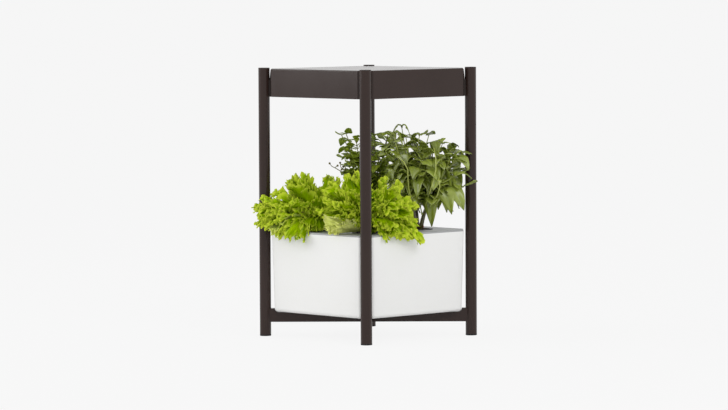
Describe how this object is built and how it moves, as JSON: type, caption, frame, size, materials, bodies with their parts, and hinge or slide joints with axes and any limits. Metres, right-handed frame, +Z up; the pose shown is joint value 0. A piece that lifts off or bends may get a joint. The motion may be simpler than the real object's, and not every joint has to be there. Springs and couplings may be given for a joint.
{
  "type": "indoor hydroponic garden",
  "caption": "Open four-post end table whose top is a grow light hood, with a white water tank, deck, net pots, pump and leafy plants below.",
  "frame": {"origin": "middle of the stand on the floor", "axes": "+Z up; +X and +Y square to the hood's sides; the four posts stand on the diagonals"},
  "size_m": [0.488, 0.488, 0.711],
  "materials": {
    "bronze_paint": "satin dark bronze powder coat",
    "dark_plastic": "satin",
    "foot_rubber": "matte",
    "black_screws": "black oxide",
    "opal_plastic": "opal, satin",
    "bare_aluminium": "mill finish",
    "board": "solder mask",
    "led": "phosphor",
    "white_plastic": "satin",
    "brass": "bright",
    "pilot": "clear green",
    "tank_white": "satin",
    "deck_grey": "satin",
    "steel_pin": "polished",
    "clear_plastic": "clear",
    "float_red": "gloss",
    "pump_plastic": "satin",
    "pot_black": "satin",
    "grow_medium": "fibrous",
    "lettuce_leaf": "leaf",
    "basil_leaf": "leaf",
    "herb_leaf": "leaf"
  },
  "bodies": {
    "stand": {"right_post": "bronze_paint", "back_post": "bronze_paint", "left_post": "bronze_paint", "front_post": "bronze_paint", "right_post_cap": "dark_plastic", "back_post_cap": "dark_plastic", "left_post_cap": "dark_plastic", "front_post_cap": "dark_plastic", "right_foot": "foot_rubber", "back_foot": "foot_rubber", "left_foot": "foot_rubber", "front_foot": "foot_rubber", "side_brace_bar": "bronze_paint", "fore_brace_bar": "bronze_paint", "brace_screws": "black_screws", "hood_screws": "black_screws", "hood_shell": "bronze_paint", "right_hood_spacer": "dark_plastic", "back_hood_spacer": "dark_plastic", "left_hood_spacer": "dark_plastic", "front_hood_spacer": "dark_plastic", "light_diffuser": "opal_plastic", "lamp_plate": "bare_aluminium", "lamp_pillars": "bare_aluminium", "led_strips": "board", "control_board": "board", "grow_leds": "led", "lamp_driver": "white_plastic", "board_stands": "brass", "button_tube": "dark_plastic", "power_socket": "dark_plastic", "pilot_lens": "pilot", "tank_pads": "foot_rubber", "water_tank": "tank_white", "deck": "deck_grey", "flap_hinge_pin": "steel_pin", "pump_shaft": "steel_pin", "gauge_tube": "clear_plastic", "pump_feet": "foot_rubber", "pump_body": "pump_plastic", "pump_cover": "pump_plastic", "riser_pipe": "white_plastic"},
    "filling_flap": {"filling_flap": "deck_grey"},
    "level_float": {"level_float": "float_red"},
    "power_button": {"power_button": "dark_plastic"},
    "pump_impeller": {"pump_impeller": "pump_plastic"},
    "drain_plug": {"drain_plug": "white_plastic", "drain_seal": "foot_rubber"},
    "right_growing_pot": {"right_pot": "pot_black", "right_grow_plug": "grow_medium", "basil_plant": "basil_leaf"},
    "back_growing_pot": {"back_pot": "pot_black", "back_grow_plug": "grow_medium", "herb_plant": "herb_leaf"},
    "left_growing_pot": {"left_pot": "pot_black", "left_grow_plug": "grow_medium", "left_lettuce": "lettuce_leaf"},
    "front_growing_pot": {"front_pot": "pot_black", "front_grow_plug": "grow_medium", "front_lettuce": "lettuce_leaf"}
  },
  "joints": [
    {"name": "filling_flap_hinge", "type": "hinge", "parent": "stand", "child": "filling_flap", "pos_m": [-0.02, 0.1242, 0.2845], "axis": [1, 0, 0], "range_deg": [0, 100]},
    {"name": "float_rise", "type": "slide", "parent": "stand", "child": "level_float", "axis": [0, 0, 1], "range_m": [0, 0.03]},
    {"name": "power_button_press", "type": "slide", "parent": "stand", "child": "power_button", "axis": [1, 0, 0], "range_m": [0, 0.0015], "stiffness_N_per_m": 400, "springref_m": -0.001},
    {"name": "impeller_spin", "type": "hinge", "parent": "stand", "child": "pump_impeller", "pos_m": [0, 0, 0.0963], "axis": [1, 0, 0], "continuous": true},
    {"name": "drain_plug_pull", "type": "slide", "parent": "stand", "child": "drain_plug", "axis": [0, 0, -1], "range_m": [0, 0.02]},
    {"name": "right_pot_lift", "type": "slide", "parent": "stand", "child": "right_growing_pot", "axis": [0, 0, 1], "range_m": [0, 0.065]},
    {"name": "back_pot_lift", "type": "slide", "parent": "stand", "child": "back_growing_pot", "axis": [0, 0, 1], "range_m": [0, 0.065]},
    {"name": "left_pot_lift", "type": "slide", "parent": "stand", "child": "left_growing_pot", "axis": [0, 0, 1], "range_m": [0, 0.065]},
    {"name": "front_pot_lift", "type": "slide", "parent": "stand", "child": "front_growing_pot", "axis": [0, 0, 1], "range_m": [0, 0.065]}
  ]
}
